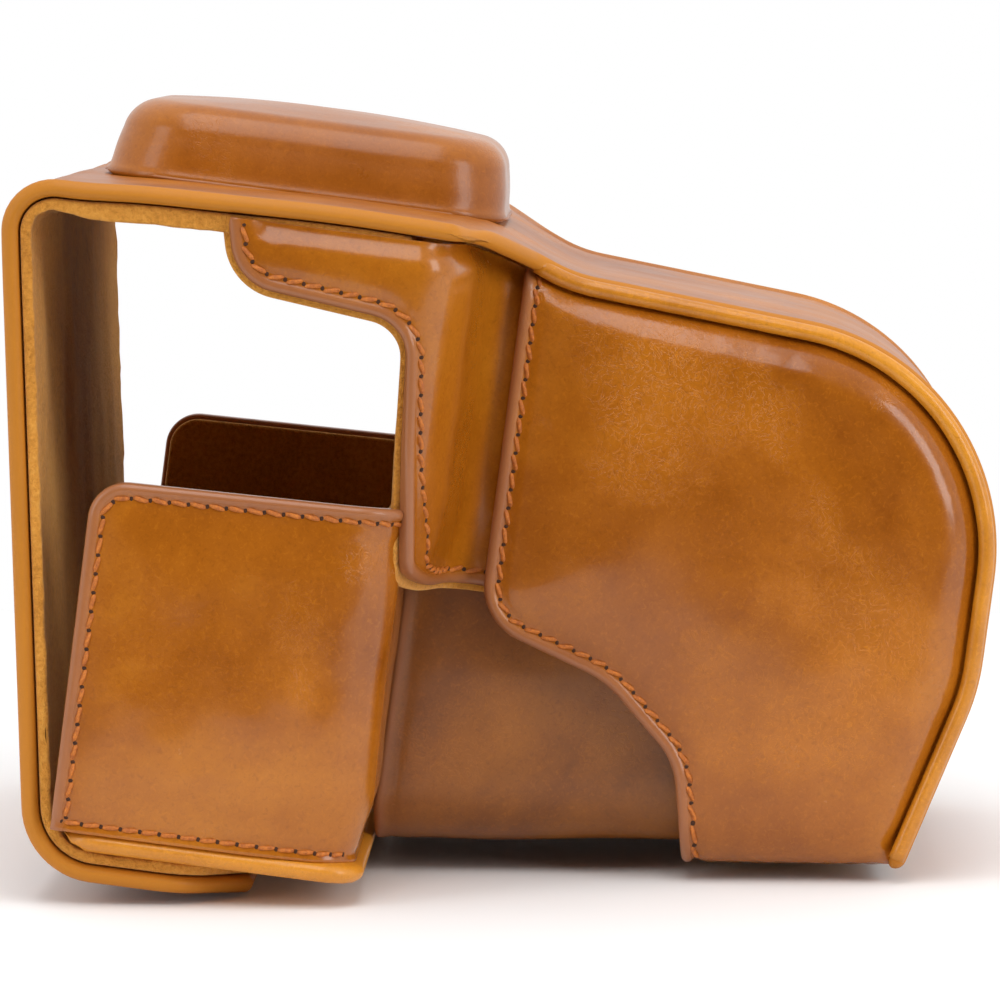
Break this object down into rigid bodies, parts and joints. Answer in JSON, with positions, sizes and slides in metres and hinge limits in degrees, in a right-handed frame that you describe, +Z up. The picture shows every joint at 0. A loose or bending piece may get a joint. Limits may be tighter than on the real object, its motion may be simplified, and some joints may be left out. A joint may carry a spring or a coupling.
{
  "type": "ever ready camera case",
  "caption": "Tan leather ever ready camera case: half case with lens cradle, front cover with moulded hump and lens box, and a back flap whose tongue closes under the base.",
  "frame": {"origin": "middle of the closed case's outline, on the surface it rests on", "axes": "+Z up, the lens box points along -Y, +X to the left-hand side as the camera's user holds it"},
  "size_m": [0.126, 0.1308, 0.1061],
  "materials": {
    "tan_leather": "glossy pull-up leather, mottled cognac",
    "piping_leather": "satin, rolled edge",
    "suede_lining": "matt napped suede",
    "stiffener": "pressed fibre board",
    "steel": "turned steel",
    "antique_metal": "dark antique brass",
    "foam": "black foam with a cloth face"
  },
  "bodies": {
    "half_case": {"base_leather": "tan_leather", "base_board": "stiffener", "base_lining": "suede_lining", "screw_escutcheon": "antique_metal", "strike_plates": "steel", "wall_leather_right": "tan_leather", "wall_leather_left": "tan_leather", "wall_lining_right": "suede_lining", "wall_lining_left": "suede_lining", "cradle_leather": "tan_leather", "cradle_lining": "suede_lining"},
    "tripod_screw": {"tripod_screw": "steel", "screw_clip": "steel"},
    "cover": {"top_leather": "tan_leather", "top_board": "stiffener", "top_lining": "suede_lining", "lens_top_lining": "suede_lining", "hump_leather": "tan_leather", "hump_lining": "suede_lining", "hump_flange": "tan_leather", "shoulder_leather_right": "tan_leather", "shoulder_leather_left": "tan_leather", "shoulder_lining_right": "suede_lining", "shoulder_lining_left": "suede_lining", "lens_panel_right": "tan_leather", "lens_panel_left": "tan_leather", "lens_lining_right": "suede_lining", "lens_lining_left": "suede_lining", "piping_right": "piping_leather", "piping_left": "piping_leather", "lens_bottom_leather": "tan_leather", "lens_bottom_lining": "suede_lining", "front_pad": "foam"},
    "flap": {"flap_leather": "tan_leather", "flap_board": "stiffener", "flap_lining": "suede_lining", "magnets": "steel", "magnet_caps": "antique_metal"}
  },
  "joints": [
    {"name": "cover_slide", "type": "slide", "parent": "half_case", "child": "cover", "axis": [0, -0.9919, -0.1271], "range_m": [0, 0.08]},
    {"name": "flap_swing", "type": "hinge", "parent": "cover", "child": "flap", "pos_m": [0, 0.05688, 0.09565], "axis": [1, 0, 0], "range_deg": [0, 95]},
    {"name": "tripod_screw_turn", "type": "hinge", "parent": "half_case", "child": "tripod_screw", "pos_m": [0, 0.03802, 0.00673], "axis": [0, -0.1271, 0.9919], "continuous": true}
  ],
  "couplings": [
    {"joint": "flap_swing", "follows": "cover_slide", "rad_per_m": 20.62}
  ]
}
